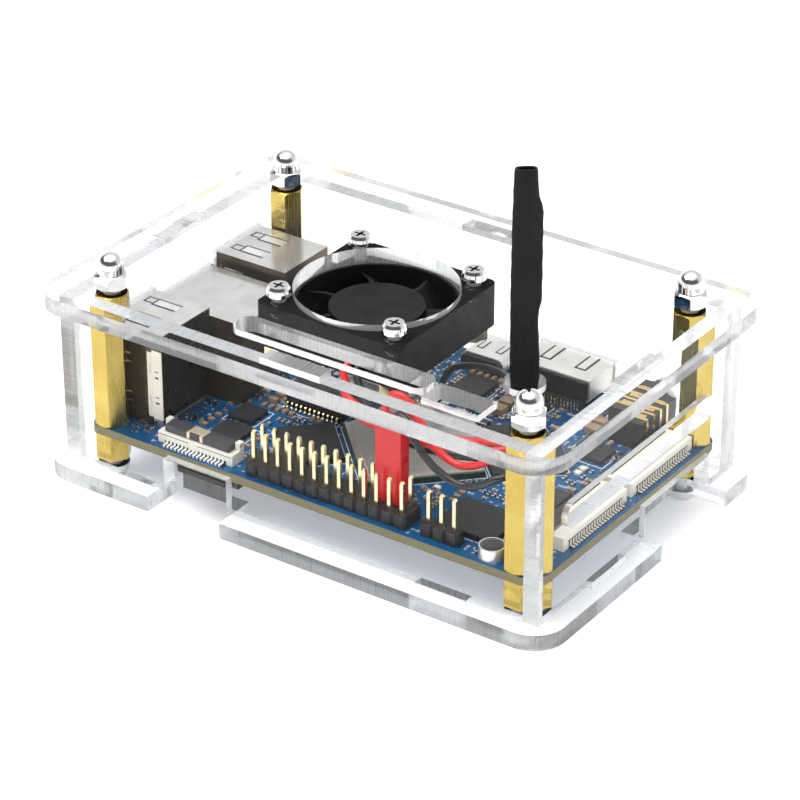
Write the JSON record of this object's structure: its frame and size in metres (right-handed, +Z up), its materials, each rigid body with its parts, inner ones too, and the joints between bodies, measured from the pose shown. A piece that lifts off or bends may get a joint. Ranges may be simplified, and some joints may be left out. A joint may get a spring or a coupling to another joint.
{
  "type": "single board computer in a clear case",
  "caption": "Single board computer under a cooling fan in a bolted clear acrylic case, with header pins, ports and a whip antenna.",
  "frame": {"origin": "centre of the footprint on the surface that the four base screw heads stand on", "axes": "+X along the long side, from the network and USB sockets to the display sockets; +Y from the header side to the HDMI side; +Z up"},
  "size_m": [0.105, 0.07, 0.0756],
  "materials": {
    "clear_acrylic": "laser-cut clear acrylic, polished faces and flame-bright edges",
    "board_blue": "blue solder mask over fibreglass with white print",
    "brass": "turned brass, bright",
    "chrome": "polished nickel plating",
    "steel_screw": "nickel-plated steel",
    "fan_black": "moulded black plastic, fine satin",
    "bearing_bronze": "sintered bronze",
    "copper_winding": "enamelled copper wire",
    "lead_red": "red insulated wire",
    "lead_black": "black insulated wire",
    "plug_red": "red moulded plastic",
    "contact_gold": "gold-flashed contact",
    "header_black": "black moulded plastic",
    "pin_gold": "pale gold plating",
    "can_metal": "drawn aluminium can",
    "substrate_green": "chip substrate",
    "lid_metal": "nickel-plated heat spreader",
    "chip_black": "moulded chip package",
    "passive_tan": "small ceramic parts with tinned ends",
    "shield_metal": "tinned shield",
    "sleeve_black": "black heat-shrink tube",
    "port_metal": "nickel-plated sheet shell",
    "port_black": "black moulded insert",
    "port_white": "ivory moulded insert",
    "port_blue": "blue moulded insert",
    "socket_ivory": "ivory moulded plastic",
    "latch_brown": "dark brown moulded latch",
    "latch_grey": "dark grey moulded latch",
    "card_black": "black memory card"
  },
  "bodies": {
    "case": {"top_plate": "clear_acrylic", "bottom_plate": "clear_acrylic", "front_plate": "clear_acrylic", "back_plate": "clear_acrylic", "left_plate": "clear_acrylic", "right_plate": "clear_acrylic", "circuit_board": "board_blue", "spacers": "brass", "standoffs": "brass", "cap_nuts": "chrome", "base_screws": "steel_screw", "fan_frame": "fan_black", "fan_bearing": "bearing_bronze", "fan_coil": "copper_winding", "fan_screws": "chrome", "fan_nuts": "steel_screw", "fan_lead_red": "lead_red", "fan_lead_black": "lead_black", "lead_plug": "plug_red", "lead_contacts": "contact_gold", "header_bodies": "header_black", "header_pins": "pin_gold", "microphone": "can_metal", "soc_package": "substrate_green", "soc_lid": "lid_metal", "ram_chips": "chip_black", "flash_chip": "chip_black", "support_chips": "chip_black", "passives": "passive_tan", "wireless_module": "shield_metal", "coax_socket": "contact_gold", "coax_plug": "chrome", "antenna_coax": "lead_black", "antenna_element": "contact_gold", "antenna_sleeve": "sleeve_black", "rj45_shell": "port_metal", "rj45_insert": "port_black", "usb2_shell": "port_metal", "usb2_insert": "port_white", "usb3_shell": "port_metal", "usb3_insert": "port_blue", "hdmi_shell": "port_metal", "hdmi_insert": "port_black", "usb_c_shell": "port_metal", "usb_c_insert": "port_black", "dc_jack_body": "port_black", "dc_jack_pin": "steel_screw", "audio_jack_body": "port_black", "audio_jack_contacts": "contact_gold", "display_sockets": "socket_ivory", "expansion_socket": "socket_ivory", "power_switch": "can_metal", "card_socket": "can_metal"},
    "fan_rotor": {"fan_rotor": "fan_black", "fan_shaft": "steel_screw"},
    "display_latch_front": {"display_latch_front": "latch_brown"},
    "display_latch_back": {"display_latch_back": "latch_brown"},
    "expansion_latch": {"expansion_latch": "latch_grey"},
    "power_button": {"power_button": "port_black"},
    "memory_card": {"memory_card": "card_black"}
  },
  "joints": [
    {"name": "fan_spin", "type": "hinge", "parent": "case", "child": "fan_rotor", "pos_m": [-0.005, 0.0005, 0.0296], "axis": [0, 0, 1], "continuous": true},
    {"name": "display_latch_front_flip", "type": "hinge", "parent": "case", "child": "display_latch_front", "pos_m": [0.0399, -0.009, 0.013], "axis": [0, 1, 0], "range_deg": [0, 90]},
    {"name": "display_latch_back_flip", "type": "hinge", "parent": "case", "child": "display_latch_back", "pos_m": [0.0399, 0.0123, 0.013], "axis": [0, 1, 0], "range_deg": [0, 90]},
    {"name": "expansion_latch_flip", "type": "hinge", "parent": "case", "child": "expansion_latch", "pos_m": [-0.0235, -0.0234, 0.01445], "axis": [-1, 0, 0], "range_deg": [0, 90]},
    {"name": "power_press", "type": "slide", "parent": "case", "child": "power_button", "axis": [0, -1, 0], "range_m": [0, 0.00025], "stiffness_N_per_m": 1000},
    {"name": "card_slide", "type": "slide", "parent": "case", "child": "memory_card", "axis": [0, -1, 0], "range_m": [0, 0.012]}
  ]
}
